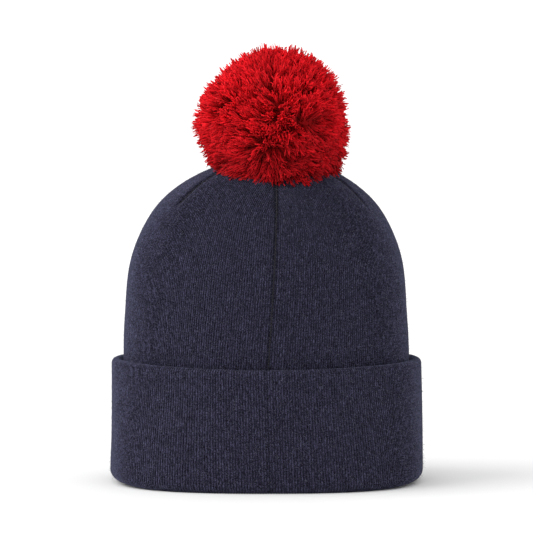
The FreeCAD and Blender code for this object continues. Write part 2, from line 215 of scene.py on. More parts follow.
def jersey_group():
    """From a UV map in wales and courses: the height of the stitches, their marl, and their
    hollows for painted shade.
    """
    tree = bpy.data.node_groups.new("jersey_stitches", "ShaderNodeTree")
    for name, value in (("Fleck Length", 3.0), ("Fleck Width", 4.2), ("Stitch Slant", 0.9)):
        socket = tree.interface.new_socket(name, in_out="INPUT", socket_type="NodeSocketFloat")
        socket.default_value = value
    for name in ("Height", "Marl", "Hollow Shade"):
        tree.interface.new_socket(name, in_out="OUTPUT", socket_type="NodeSocketFloat")
    given = tree.nodes.new("NodeGroupInput").outputs
    taken = tree.nodes.new("NodeGroupOutput")
    uv = add_node(tree, "ShaderNodeUVMap", uv_map="stitches")
    split = add_node(tree, "ShaderNodeSeparateXYZ", {0: uv.outputs["UV"]})
    wale, course = split.outputs[0], split.outputs[1]
    wander = add_node(tree, "ShaderNodeTexNoise", {
        "Scale": 0.6, "Vector": uv.outputs["UV"]}, noise_dimensions="2D")
    course = sum_of(tree, "MULTIPLY_ADD", wander.outputs["Fac"], 1.6, course)

    # Each stitch is a V of two legs, one on each side of its wale's middle.
    across = sum_of(tree, "FRACT", wale)
    from_middle = sum_of(tree, "ABSOLUTE", sum_of(tree, "SUBTRACT", across, 0.5))
    slanted = sum_of(tree, "MULTIPLY_ADD", from_middle, given["Stitch Slant"], course)
    along = sum_of(tree, "FRACT", slanted)
    off_leg = sum_of(tree, "ABSOLUTE", sum_of(tree, "SUBTRACT", from_middle, 0.25))
    round_leg = sum_of(tree, "SUBTRACT", 1.0, sum_of(tree, "MULTIPLY", off_leg, 3.6))
    plump = sum_of(tree, "SINE", sum_of(tree, "MULTIPLY", along, math.pi))
    plump = sum_of(tree, "MULTIPLY_ADD", plump, 0.5, 0.5)
    height = sum_of(tree, "MULTIPLY", plump, round_leg)
    feed(tree, taken, {"Height": height})
    # Painted shade: the hollows between the wales and between the stitches, where the colour is
    # darkened.
    valley = sum_of(tree, "POWER", sum_of(tree, "MULTIPLY", from_middle, 2.0), 2.2)
    feed(tree, taken, {
        "Hollow Shade": sum_of(tree, "MAXIMUM", valley, sum_of(tree, "SUBTRACT", 0.75, plump))})

    # Each leg has a tone of its own, and streaks of pale fibre run across several of them.
    leg = add_node(tree, "ShaderNodeCombineXYZ", {
        0: sum_of(tree, "FLOOR", sum_of(tree, "MULTIPLY", wale, 2.0)),
        1: sum_of(tree, "FLOOR", slanted)})
    tone = add_node(tree, "ShaderNodeTexWhiteNoise", {
        "Vector": leg}, noise_dimensions="2D")
    streaks = []
    for turn in (0.5, -0.7):
        fibre = tree.nodes.new("ShaderNodeCombineXYZ")
        tilted = sum_of(tree, "MULTIPLY_ADD", course, turn, wale)
        feed(tree, fibre, {
            0: sum_of(tree, "MULTIPLY", tilted, given["Fleck Width"]),
            1: sum_of(tree, "MULTIPLY", course, given["Fleck Length"])})
        streak = add_node(tree, "ShaderNodeTexNoise", {
            "Scale": 1.0, "Detail": 1.5, "Vector": fibre}, noise_dimensions="2D")
        streaks.append(streak.outputs["Fac"])
    streak = sum_of(tree, "MAXIMUM", *streaks)
    mixed = sum_of(tree, "MULTIPLY_ADD", sum_of(tree, "POWER", tone.outputs["Value"], 2.0),
                   0.11, streak)
    marl = add_node(tree, "ShaderNodeMapRange", {
        "From Min": 0.55, "From Max": 0.76, "Value": mixed})
    feed(tree, taken, {"Marl": marl})
    return tree


jersey = jersey_group()


def jersey_material(name, dark, pale, stitch_depth):
    """Knitted yarn of two tones, with painted shade between the wales and in the furrows of the
    seams.
    """
    made, tree, shader = material(name)
    stitches = add_node(tree, "ShaderNodeGroup", node_tree=jersey)
    marled = tone_ramp(tree, stitches.outputs["Marl"], dark, pale)
    # Painted shade: the colour is darkened in the hollows between the wales and the stitches.
    hollow_shaded = multiplied(tree, stitches.outputs["Hollow Shade"], marled, (0.10, 0.10, 0.13, 1))
    furrow_shade = add_node(tree, "ShaderNodeAttribute", attribute_name="furrow_shade")
    # Painted shade: the colour is darkened in the furrows of the seams.
    feed(tree, shader, {"Base Color": multiplied(tree, furrow_shade.outputs["Fac"], hollow_shaded,
                                                 (0.20, 0.20, 0.25, 1))})
    bump = add_node(tree, "ShaderNodeBump", {
        "Strength": 0.9, "Distance": stitch_depth, "Height": stitches.outputs["Height"]})
    feed(tree, shader, {
        "Normal": bump, "Roughness": 0.95, "Specular IOR Level": 0.15,
        "Sheen Weight": 0.14, "Sheen Roughness": 0.45, "Sheen Tint": (0.50, 0.55, 0.85, 1)})
    return made


navy_jersey = jersey_material("navy_jersey", yarn_dark, yarn_pale, 0.0004)


def new_geometry_tree(name, inputs):
    """A Geometry Nodes tree with the stated inputs: (tree, what it is given, its output node)."""
    tree = bpy.data.node_groups.new(name, "GeometryNodeTree")
    tree.interface.new_socket("Geometry", in_out="INPUT", socket_type="NodeSocketGeometry")
    tree.interface.new_socket("Geometry", in_out="OUTPUT", socket_type="NodeSocketGeometry")
    for label, kind, value in inputs:
        socket = tree.interface.new_socket(label, in_out="INPUT", socket_type="NodeSocket" + kind)
        if value is not None:
            socket.default_value = value
    return tree, tree.nodes.new("NodeGroupInput").outputs, tree.nodes.new("NodeGroupOutput")


def grown(source, tree, name, values):
    """The plain mesh object that a Geometry Nodes tree makes of a source object."""
    modifier = source.modifiers.new("grow", "NODES")
    modifier.node_group = tree
    for item in tree.interface.items_tree:
        if item.item_type == "SOCKET" and item.in_out == "INPUT" and item.name in values:
            modifier[item.identifier] = values[item.name]
    graph = bpy.context.evaluated_depsgraph_get()
    mesh = bpy.data.meshes.new_from_object(source.evaluated_get(graph), depsgraph=graph)
    bpy.data.objects.remove(source)
    return placed(name, mesh)


def finish_tree(tree, geometry, taken, cloth):
    """Ends a tree in Realize Instances and Set Material."""
    real = tree.nodes.new("GeometryNodeRealizeInstances")
    paint = tree.nodes.new("GeometryNodeSetMaterial")
    feed(tree, real, {0: geometry})
    feed(tree, paint, {"Geometry": real, "Material": cloth})
    feed(tree, taken, {"Geometry": paint})


def raised_wales_tree():
    """Lifts the wales of a knit off its smooth form, along the form's own normals."""
    tree, given, taken = new_geometry_tree("raised_wales", [
        ("Rib Height", "Float", rib_height), ("Cloth", "Material", None)])
    wale = add_node(tree, "GeometryNodeInputNamedAttribute", {"Name": "wale"}, data_type="FLOAT")
    rib = sum_of(tree, "COSINE", sum_of(tree, "MULTIPLY", wale, 2 * math.pi))
    rib = sum_of(tree, "MULTIPLY", rib, sum_of(tree, "MULTIPLY", given["Rib Height"], -1))
    normal = tree.nodes.new("GeometryNodeInputNormal")
    offset = add_node(tree, "ShaderNodeVectorMath", {
        0: normal, "Scale": rib}, operation="SCALE")
    move = add_node(tree, "GeometryNodeSetPosition", {
        "Geometry": given["Geometry"], "Offset": offset})
    finish_tree(tree, move, taken, given["Cloth"])
    return tree


raised_wales = raised_wales_tree()


def eased(value, start, end):
    """From 0 at start to 1 at end, level at both."""
    part = np.clip((np.asarray(value, float) - start) / (end - start), 0, 1)
    return part * part * (3 - 2 * part)


cuff_level = 0.070


def crown_turn(high):
    """How far round the hat the wales have leaned to the right at a height, in radians."""
    return np.radians(1.1 + 40.0 * (np.maximum(high, cuff_level) - 0.090))


def cuff_turn(high):
    """The same for the cuff, whose wales lean the other way."""
    return np.radians(1.2 - 15.0 * np.asarray(high))


def ease(angle, high):
    """Slack in the cloth: how far out it stands, the same for every layer at one place."""
    wave = 0.45 * np.sin(3 * angle + 26 * high + 0.8) + 0.35 * np.sin(7 * angle - 41 * high + 2.1)
    wave += 0.20 * np.sin(13 * angle + 60 * high + 4.0)
    return 0.0006 * wave * eased(high, 0.0, 0.03) * (1 - eased(high, 0.185, 0.205))


def fullness(reach, high):
    """How far the stretched knit stands out from a plain oval: full shoulders, a slacker waist."""
    full = 0.0025 * np.exp(-((high - 0.188) / 0.020) ** 2)
    full -= 0.0018 * np.exp(-((high - 0.124) / 0.022) ** 2)
    return full * np.minimum(1.0, reach / 0.040)


foot_lift = 0.0028


def knit_point(reach, high, angle, turn, lean=0.0):
    """Points of the knit at a reach from its axis: a rounder oval above, squarer at the foot."""
    turned = angle + turn(high)
    power = 2 + foot_flatness * (1 - eased(high, 0.0, foot_flat_reach))
    wide, deep = np.cos(turned), np.sin(turned)
    shape = (np.abs(wide) ** power + np.abs(deep) ** power) ** (-1 / power)
    reach = (reach + ease(turned, high) + fullness(reach, high)) * shape
    x = apex_x * (np.asarray(lean) / (math.pi / 2)) ** 3 + reach * wide
    high = high + foot_lift * np.abs(wide) ** 5 * (1 - eased(high, 0.0, 0.050))
    return np.stack(np.broadcast_arrays(x, reach * depth_ratio * deep, high), axis=-1)


def straight_out(angle, high, turn, lean):
    """The outward directions at those points."""
    turned = angle + turn(high)
    level = np.stack([np.cos(turned), np.sin(turned) / depth_ratio], axis=-1)
    level /= np.linalg.norm(level, axis=-1, keepdims=True)
    lean = np.broadcast_to(lean, turned.shape)[..., None]
    return np.concatenate([level * np.cos(lean), np.sin(lean)], axis=-1)


def face_outwards(mesh, join_within=0.0):
    """Turns a closed mesh's faces outwards and shades them smooth."""
    form = bmesh.new()
    form.from_mesh(mesh)
    if join_within:
        bmesh.ops.remove_doubles(form, verts=form.verts, dist=join_within)
    bmesh.ops.recalc_face_normals(form, faces=form.faces)
    form.to_mesh(mesh)
    form.free()
    mesh.shade_smooth()


def knit_cloth(name, skins, per_wale):
    """One closed cloth with two skins of points, rows by columns, each closed round its rows.

    A skin is (points, courses, furrow shades, joined): its last row joins the next skin's first
    row, at the columns where joined says so, or at all of them for None. Furrow shades are painted
    shade along the seams.
    """
    columns = skins[0][0].shape[1]
    count = 0
    starts = []
    for skin in skins:
        starts.append(count)
        count += skin[0].shape[0] * columns
    along = np.arange(columns)
    ahead = (along + 1) % columns
    faces, corners = [], []

    def band(low, high, low_courses, high_courses, wanted):
        faces.append(np.stack([low + along, low + ahead, high + ahead, high + along], 1)[wanted])
        left, right = along / per_wale, (along + 1) / per_wale
        u = np.stack([left, right, right, left], 1)
        v = np.stack([low_courses, low_courses[ahead], high_courses[ahead], high_courses], 1)
        corners.append(np.stack([u, v], -1)[wanted])

    everywhere = np.ones(columns, bool)
    for place, (points, courses, _, joined) in enumerate(skins):
        for row in range(points.shape[0] - 1):
            start = starts[place] + row * columns
            band(start, start + columns, courses[row], courses[row + 1], everywhere)
        following = (place + 1) % len(skins)
        last = starts[place] + (points.shape[0] - 1) * columns
        band(last, starts[following], courses[-1], skins[following][1][0],
             everywhere if joined is None else joined & joined[ahead])
    mesh = bpy.data.meshes.new(name)
    every = np.concatenate([skin[0].reshape(-1, 3) for skin in skins])
    mesh.from_pydata(every.tolist(), [], np.concatenate(faces).tolist())
    wale = mesh.attributes.new("wale", "FLOAT", "POINT")
    wale.data.foreach_set("value", np.tile(along / per_wale, count // columns))
    # Painted shade along the seam furrows, stored for the material to darken the colour.
    furrow_shade = mesh.attributes.new("furrow_shade", "FLOAT", "POINT")
    furrow_shade.data.foreach_set("value", np.concatenate([skin[2].ravel() for skin in skins]))
    stitches = mesh.uv_layers.new(name="stitches")
    stitches.data.foreach_set("uv", np.concatenate(corners).ravel())
    face_outwards(mesh, 2e-6)
    return grown(placed(name + "_form", mesh), raised_wales, name,
                 {"Rib Height": rib_height, "Cloth": navy_jersey})


def gored_skins(inset, per_wale, heights, dome_rows, dart_rows, back_heights, back_dome_rows,
                back_dart_rows, seam_dip, shown_inside=False):
    """The two skins of a layer that closes over the head.

    Above dart_start each wale keeps its distance from the middle of its gore, and ends where it
    meets the seam between two gores.
    """
    columns = wale_count * per_wale
    per_gore = columns // gore_count
    from_middle = (np.arange(columns) % per_gore + 0.5) * gore_angle / per_gore - gore_angle / 2
    middle = BACK + gore_angle / 2 + (np.arange(columns) // per_gore) * gore_angle
    share = np.abs(from_middle) / (gore_angle / 2)
    hole_share = tie_hole / (shell_out * math.cos(dart_start))
    dart_end = np.arccos(np.cos(dart_start) * np.maximum(share, hole_share))
    in_hole = share <= hole_share * 1.0001
    seam_width = 0.0021

    def from_back(angle):
        return np.abs((angle - BACK + math.pi) % (2 * math.pi) - math.pi)

    def skin(depth, wall_heights, dome_count, dart_count, dip_depth):
        reach = shell_out - depth
        rise = hat_top - depth - dome_base
        rows, lengths, furrow_shades = [], [], []
        angle = middle + from_middle
        near_seam = np.exp(-(from_back(angle) * shell_out / seam_width) ** 2)
        dip = dip_depth * near_seam[:, None]
        levels = [(height, 0.0, height) for height in wall_heights]
        for lean in [dart_start * step / dome_count for step in range(dome_count)]:
            levels.append((dome_base + rise * math.sin(lean), lean, dome_base + shell_out * lean))
        for height, lean, length in levels:
            row = knit_point(reach * math.cos(lean), height, angle, crown_turn, lean)
            rows.append(row - straight_out(angle, height, crown_turn, lean) * dip)
            lengths.append(np.full(columns, length))
            # Painted shade along the seam's furrow, stronger up the dome.
            furrow_shades.append((0.45 + 0.35 * lean / dart_start) * near_seam)
        for step in range(dart_count + 1):
            lean = dart_start + (dart_end - dart_start) * step / dart_count
            height = dome_base + rise * np.sin(lean)
            spread = np.clip(from_middle * math.cos(dart_start) / np.cos(lean),
                             -gore_angle / 2, gore_angle / 2)
            angle = middle + spread
            row = knit_point(reach * np.cos(lean), height, angle, crown_turn, lean)
            to_seam = (gore_angle / 2 - np.abs(spread)) * shell_out * np.cos(lean)
            begun = np.clip((lean - dart_start) / math.radians(8), 0, 1)
            begun = np.where(from_back(angle) < gore_angle / 4, 1.0, begun)
            near_seam = begun * np.exp(-(to_seam / seam_width) ** 2)
            dip = np.minimum(dip_depth * near_seam, reach * np.cos(lean) * 0.1)[:, None]
            rows.append(row - straight_out(angle, height, crown_turn, lean) * dip)
            lengths.append(dome_base + shell_out * lean)
            # Painted shade along the darts' furrows, strongest at the apex.
            furrow_shades.append((0.80 + 0.20 * step / dart_count) * near_seam)
        return np.array(rows), np.array(lengths) / course_pitch, np.array(furrow_shades)

    near, far = inset, inset + knit_wall
    if shown_inside:
        near, far = far, near
    shown = skin(near, heights, dome_rows, dart_rows, seam_dip)
    hidden = skin(far, back_heights, back_dome_rows, back_dart_rows, 0.0)
    return [(*shown, in_hole), (*(part[::-1] for part in hidden), None)]


lining_heights = [fold_top + step * (dome_base - fold_top) / 14 for step in range(14)]
lining = knit_cloth("lining_knit", gored_skins(shell_out - lining_out, 2, lining_heights, 8, 14,
                                               [fold_top, 0.06], 4, 6, -0.0006, True), 2)
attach(lining, "hat")
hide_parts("lining")

# ---- Outer layer of the crown ----
# The other end of the same tube, drawn on over the lining, with its face side out. It closes in
# six gores: one seam runs down the middle of the back, and five short darts start higher up.

crown_heights = [fold_top, 0.045]
crown_heights += [cuff_level + step * (dome_base - cuff_level) / 13 for step in range(13)]
crown = knit_cloth("crown_knit", gored_skins(0.0, 4, crown_heights, 18, 24, [fold_top], 3, 4,
                                             0.0014), 4)
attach(crown, "hat")
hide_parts("outer_shell")

# ---- Cuff ----
# The lower part of the doubled tube, turned up over itself. Its face layer starts at the
# lining's end, runs under the soft fold that the hat stands on, up, and over the top edge.

cuff_out = cuff_high.x
cuff_out_top = cuff_out - 0.0010
edge_radius = 0.0032
edge_base = cuff_high.z - edge_radius
lining_in = lining_out - knit_wall
fold_radius = fold_top
inner_fold_radius = fold_radius - knit_wall - 0.0004
edge_dip = 0.0014
edge_drop = 0.0008


def arc(centre, radius, start, end, steps):
    """Points (reach, height) of a section along an arc, in degrees from straight outwards."""
    points = []
    for step in range(steps + 1):
        turn = math.radians(start + (end - start) * step / steps)
        points.append((centre[0] + radius * math.cos(turn), centre[1] + radius * math.sin(turn)))
    return points


def folded_section(radius, steps, wall_steps, top):
    """Down inside, under the foot, up outside to the run of points called top."""
    inner = (lining_in + fold_radius, fold_radius)
    outer = (cuff_out - fold_radius, fold_radius)
    points = arc(inner, radius, 180, 270, steps) + arc(outer, radius, 270, 360, steps)
    start, end = points[-1], top[0]
    for step in range(1, wall_steps):
        part = step / wall_steps
        points.append(tuple(a + (b - a) * part for a, b in zip(start, end)))
    return points + top


def cuff_skin(section, per_wale, seam_dip):
    """Rows of knit along a section, with the back seam's furrow dipped in them and painted shade
    along it.
    """
    columns = wale_count * per_wale
    angle = BACK + (np.arange(columns) + 0.5) * 2 * math.pi / columns
    away = np.abs((angle - BACK + math.pi) % (2 * math.pi) - math.pi) * cuff_out
    # Painted shade along the back seam's furrow, in the face layer only.
    seam_shade_amount = 0.30 if seam_dip else 0.0
    rows, lengths, furrow_shades, length, before = [], [], [], 0.0, section[0]
    for place, (reach, height) in enumerate(section):
        length += math.dist(before, (reach, height))
        before = (reach, height)
        dip = seam_dip * np.exp(-(away / 0.0016) ** 2) if reach > cuff_out - 0.004 else 0.0
        dropped = height - (edge_drop + edge_dip * np.sin(angle) ** 2) * eased(height, 0.010,
                                                                                cuff_high.z)
        rows.append(knit_point(reach - dip, dropped, angle, cuff_turn))
        furrow_shades.append(seam_shade_amount * np.exp(-(away / 0.0013) ** 2) * np.ones(columns))
        lengths.append(np.full(columns, length / course_pitch))
    return np.array(rows), np.array(lengths), np.array(furrow_shades)


def folded_cloth(name, outside, inside, per_wale, seam_dip):
    """One layer of the cuff between its two sections, the back seam in its outer skin."""
    shown = cuff_skin(outside, per_wale, seam_dip)
    hidden = cuff_skin(inside, per_wale, 0.0)
    return knit_cloth(name, [(*shown, None), (*(part[::-1] for part in hidden), None)], per_wale)


edge_middle = (cuff_out_top - edge_radius, edge_base)
cuff_outside = folded_section(fold_radius, 6, 26, arc(edge_middle, edge_radius, 0, 180, 10))
cuff_inside = folded_section(fold_radius - knit_wall, 3, 3,
                             arc(edge_middle, edge_radius - knit_wall, 0, 180, 4))
cuff = folded_cloth("cuff_knit", cuff_outside, cuff_inside, 4, 0.0007)
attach(cuff, "hat")
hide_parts("cuff_face")

# ---- Back of the cuff ----
# The hidden layer of the cuff, from the outer layer's end up to the underside of the top edge.

top_in = cuff_out_top - 2 * edge_radius
back_outside = folded_section(inner_fold_radius, 4, 10, [(top_in + knit_wall, edge_base)])
back_inside = folded_section(inner_fold_radius - knit_wall, 3, 4, [(top_in, edge_base)])
cuff_lining = folded_cloth("cuff_back_knit", back_outside, back_inside, 2, 0.0)
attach(cuff_lining, "hat")
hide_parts("cuff_back")

# ---- Fuzz on the knit ----
# Short fibres of the yarn that stand off the jersey all over its face, finer than the stitches.
# They are scattered over the outer layer and the cuff, each a bent hair lying near the surface.


def object_noise(tree, scale, detail=2.0):
    """Noise laid over an object's own coordinates, and its value."""
    place = tree.nodes.new("ShaderNodeTexCoord")
    return add_node(tree, "ShaderNodeTexNoise", {
        "Scale": scale, "Detail": detail, "Vector": place.outputs["Object"]}).outputs["Fac"]


fuzz_grey, fuzz_tree, fuzz_shader = material("fuzz_grey")
feed(fuzz_tree, fuzz_shader, {
    "Base Color": tone_ramp(fuzz_tree, object_noise(fuzz_tree, 900.0), (0.030, 0.030, 0.052, 1),
                            (0.170, 0.180, 0.250, 1), 0.35, 0.70),
    "Roughness": 0.9, "Sheen Weight": 0.2})


def bent_hair(name, length, radius, bend, steps):
    """A three-sided hair along +Z from the origin, bent towards +X and drawn to a point."""
    points, faces = [], []
    for step in range(steps + 1):
        part = step / steps
        for side in range(3):
            turn = 2 * math.pi * side / 3
            thick = radius * (1 - 0.85 * part ** 2)
            points.append((thick * math.cos(turn) + bend * length * part ** 2,
                           thick * math.sin(turn), length * part))
    for step in range(steps):
        for side in range(3):
            low, ahead = 3 * step + side, 3 * step + (side + 1) % 3
            faces.append((low, ahead, ahead + 3, low + 3))
    faces.append((2, 1, 0))
    faces.append((3 * steps, 3 * steps + 1, 3 * steps + 2))
    return mesh_object(name, points, faces)


def vector_of(tree, operation, a, b=None, scale=None):
    """A vector maths node on sockets or triples, and its output."""
    stated = {0: a, 1: b, "Scale": scale}
    sockets = {key: value for key, value in stated.items() if value is not None}
    made = add_node(tree, "ShaderNodeVectorMath", sockets, operation=operation)
    return made.outputs["Value" if operation in ("LENGTH", "DOT_PRODUCT") else 0]


def random_value(tree, kind, low, high, seed):
    """A random value node between two constants, its seed a socket or a number."""
    first, out = {"FLOAT_VECTOR": (0, 0), "FLOAT": (2, 1), "INT": (4, 2)}[kind]
    return add_node(tree, "FunctionNodeRandomValue", {first: low, first + 1: high, "Seed": seed},
                    data_type=kind).outputs[out]


def scattered_fuzz_tree():
    """Scatters hairs over the outward faces of a cloth that lie above a height."""
    tree, given, taken = new_geometry_tree("scattered_fuzz", [
        ("Hairs per Area", "Float", 1.0), ("Seed", "Int", 1), ("Above", "Float", 0.0),
        ("Hair", "Object", None), ("Fibre", "Material", None)])
    normal = tree.nodes.new("GeometryNodeInputNormal")
    place = tree.nodes.new("GeometryNodeInputPosition")
    from_axis = vector_of(tree, "SUBTRACT", place, (0.0, 0.0, 0.12))
    outward = vector_of(tree, "DOT_PRODUCT", normal, from_axis)
    split = add_node(tree, "ShaderNodeSeparateXYZ", {0: place})
    above = sum_of(tree, "GREATER_THAN", split.outputs[2], given["Above"])
    faced = sum_of(tree, "MULTIPLY", sum_of(tree, "GREATER_THAN", outward, 0.0), above)
    scatter = add_node(tree, "GeometryNodeDistributePointsOnFaces", {
        "Mesh": given["Geometry"], "Selection": faced,
        "Density": given["Hairs per Area"], "Seed": given["Seed"]})
    lie = random_value(tree, "FLOAT_VECTOR", (-1.0, -1.0, -0.7), (1.0, 1.0, 1.0),
                       given["Seed"])
    way = vector_of(tree, "ADD", vector_of(tree, "SCALE", scatter.outputs["Normal"], scale=0.30),
                    lie)
    turn = add_node(tree, "FunctionNodeAlignRotationToVector", {"Vector": way}, axis="Z")
    hair = add_node(tree, "GeometryNodeObjectInfo", {"Object": given["Hair"]})
    stand = add_node(tree, "GeometryNodeInstanceOnPoints", {
        "Points": scatter.outputs["Points"], "Instance": hair.outputs["Geometry"],
        "Rotation": turn})
    size = random_value(tree, "FLOAT", 0.5, 1.3, given["Seed"])
    feed(tree, stand, {"Scale": size})
    finish_tree(tree, stand, taken, given["Fibre"])
    return tree


scattered_fuzz = scattered_fuzz_tree()
hair = bent_hair("hair", 0.0022, 0.00005, 0.35, 2)
for cloth, name, density, above in ((crown, "crown_fuzz", 110000.0, 0.072),
                                    (cuff, "cuff_fuzz", 150000.0, 0.0035)):
    fuzz = grown(placed(name + "_form", cloth.data.copy()), scattered_fuzz, name, {
        "Hairs per Area": density, "Seed": 7, "Above": above, "Hair": hair, "Fibre": fuzz_grey})
    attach(fuzz, "hat")
bpy.data.objects.remove(hair)

# ---- Seams of the crown ----
# The gores are linked edge to edge with their own yarn: a fine chain of slanted stitches in the
# bottom of each furrow. The back one runs down into the cuff, the darts start on the dome.

seam_navy, seam_tree, seam_shader = material("seam_navy")
feed(seam_tree, seam_shader, {
    "Base Color": tone_ramp(seam_tree, object_noise(seam_tree, 2500.0),
                            (0.003, 0.002, 0.006, 1), (0.012, 0.011, 0.021, 1)),
    "Roughness": 0.9, "Sheen Weight": 0.1})


def laid_cord_tree():
    """A cord of three laid strands along a path: a three-lobed section that turns as it goes."""
    tree, given, taken = new_geometry_tree("laid_cord", [
        ("Radius", "Float", 0.0008), ("Lay", "Float", 0.004), ("Spacing", "Float", 0.0004),
        ("Section Points", "Int", 12), ("Cord", "Material", None)])
    path = add_node(tree, "GeometryNodeMeshToCurve", {"Mesh": given["Geometry"]})
    even = add_node(tree, "GeometryNodeResampleCurve", {
        "Curve": path, "Length": given["Spacing"]}, mode="LENGTH")
    gone = tree.nodes.new("GeometryNodeSplineParameter")
    turns = sum_of(tree, "DIVIDE", gone.outputs["Length"], given["Lay"])
    twist = add_node(tree, "GeometryNodeSetCurveTilt", {
        "Curve": even, "Tilt": sum_of(tree, "MULTIPLY", turns, 2 * math.pi)})
    ring = add_node(tree, "GeometryNodeCurvePrimitiveCircle", {
        "Resolution": given["Section Points"], "Radius": given["Radius"]})
    round_it = tree.nodes.new("GeometryNodeSplineParameter")
    lobe = sum_of(tree, "MULTIPLY", round_it.outputs["Factor"], 6 * math.pi)
    lobe = sum_of(tree, "COSINE", lobe)
    place = tree.nodes.new("GeometryNodeInputPosition")
    lobed = vector_of(tree, "SCALE", place, scale=sum_of(tree, "MULTIPLY_ADD", lobe, 0.16, 0.84))
    section = add_node(tree, "GeometryNodeSetPosition", {
        "Geometry": ring, "Position": lobed})
    sweep = add_node(tree, "GeometryNodeCurveToMesh", {
        "Curve": twist, "Profile Curve": section, "Fill Caps": True})
    finish_tree(tree, sweep, taken, given["Cord"])
    return tree


laid_cord = laid_cord_tree()


def cord_along(name, runs, values, closed=False):
    """A laid cord along one or more runs of points."""
    points, edges = [], []
    for run in runs:
        start = len(points)
        points += [tuple(point) for point in run]
        edges += [(start + place, start + place + 1) for place in range(len(run) - 1)]
        if closed:
            edges.append((len(points) - 1, start))
    mesh = bpy.data.meshes.new(name + "_path")
    mesh.from_pydata(points, edges, [])
    cord = grown(placed(name + "_path", mesh), laid_cord, name, values)
    cord.data.shade_smooth()
    return cord


def seam_run(gore, from_height, from_lean):
    """A zigzag down in one furrow: from a height on the wall, or from a lean on the dome."""
    stitch, side_step = 0.0011, 0.00042
    route = []
    if from_height is not None:
        count = int((dome_base - from_height) / stitch)
        route += [(0.0, from_height + stitch * step) for step in range(count)]
    top_lean = math.acos(tie_hole / shell_out) - 0.02
    count = int((top_lean - from_lean) * shell_out / stitch)
    rise = hat_top - dome_base
    for step in range(count + 1):
        lean = from_lean + (top_lean - from_lean) * step / count
        route.append((lean, dome_base + rise * math.sin(lean)))
    run = []
    for place, (lean, height) in enumerate(route):
        reach = (shell_out - 0.0007) * math.cos(lean)
        side = side_step * (1 if place % 2 else -1)
        angle = BACK + gore * gore_angle + side / max(reach, 0.004)
        run.append(knit_point(reach, height - 0.0007 * math.sin(lean), angle, crown_turn, lean))
    return run


seam_cord = {"Radius": 0.00030, "Lay": 0.0016, "Spacing": 0.0004, "Section Points": 5,
             "Cord": seam_navy}
back_seam = cord_along("back_seam_stitches", [seam_run(0, fold_top + 0.0005, 0.0)], seam_cord)
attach(back_seam, "hat")
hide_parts("back_seam_thread")
darts = cord_along("dart_seam_stitches", [seam_run(gore, None, dart_start - math.radians(4))
                                          for gore in range(1, gore_count)], seam_cord)
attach(darts, "hat")
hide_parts("dart_seam_threads")

# ---- Draw thread of the apex ----
# One turn of the same yarn through the tips of the gores, drawn up round the hole of the tie.

gather_low, gather_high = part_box("apex_gather_thread")
gather_radius = (gather_high.x - gather_low.x) / 2 - 0.00035
gather_level = (gather_low.z + gather_high.z) / 2
gather_turns = 40
gather_run = []
for step in range(gather_turns):
    turn = 2 * math.pi * step / gather_turns
    reach = gather_radius + 0.00020 * math.cos(6 * turn)
    gather_run.append((apex_x + reach * math.cos(turn), reach * math.sin(turn),
                       gather_level + 0.00010 * math.sin(6 * turn)))
gather = cord_along("apex_draw_thread", [gather_run], seam_cord, closed=True)
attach(gather, "hat")
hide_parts("apex_gather_thread")

# ---- Backing button ----
# A small dished plastic button with two holes, which spreads the pull of the tie over the
# lining. It is moulded in one piece and left as it comes from the mould.

button_navy, button_tree, button_shader = material("button_navy")
button_cloud = object_noise(button_tree, 260.0, 4.0)
button_rough = add_node(button_tree, "ShaderNodeMapRange", {
    "To Min": 0.28, "To Max": 0.48, "Value": button_cloud})
feed(button_tree, button_shader, {
    "Base Color": tone_ramp(button_tree, button_cloud, (0.010, 0.012, 0.030, 1),
                            (0.022, 0.025, 0.055, 1)),
    "Roughness": button_rough})
button = bpy.data.objects["backing_button"]
button.data.materials.clear()
button.data.materials.append(button_navy)

# ---- Tie: tails, knots, neck and binding ----
# One length of white nylon cord holds the pom-pom: it is wound round the yarn, runs down as two
# strands, is knotted on the apex, and again under the button, where its cut ends hang.

nylon_white, nylon_tree, nylon_shader = material("nylon_white")
nylon_grain = object_noise(nylon_tree, 3200.0, 3.0)
nylon_bump = add_node(nylon_tree, "ShaderNodeBump", {"Distance": 0.00005, "Height": nylon_grain})
feed(nylon_tree, nylon_shader, {
    "Base Color": tone_ramp(nylon_tree, nylon_grain, (0.50, 0.49, 0.46, 1),
                            (0.80, 0.79, 0.76, 1)),
    "Normal": nylon_bump, "Roughness": 0.45, "Sheen Weight": 0.15})

tails_low, tails_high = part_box("tie_tails")
inner_low, inner_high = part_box("tie_knot_inner")
outer_low, outer_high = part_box("tie_knot_outer")
neck_low, neck_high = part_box("tie_neck")
binding_low, binding_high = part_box("pom_binding")
cord_radius = tails_high.y
tail_spread = (tails_high.x - tails_low.x) / 2 - cord_radius
tie_cord = {"Radius": cord_radius, "Lay": 0.0045, "Spacing": 0.0004, "Section Points": 12,
            "Cord": nylon_white}


def straight_run(start, end, count=12):
    """Points along a straight line."""
    start, end = Vector(start), Vector(end)
    return [start.lerp(end, step / count) for step in range(count + 1)]


shorter_tail = 0.0022
tails = cord_along("tie_tail_cords", [
    straight_run((apex_x + side * tail_spread, 0, tails_low.z + cut),
                 (apex_x + side * tail_spread, 0, tails_high.z))
    for side, cut in ((-1, 0.0), (1, shorter_tail))], tie_cord)
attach(tails, "hat")
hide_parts("tie_tails")


knot_steps = 72


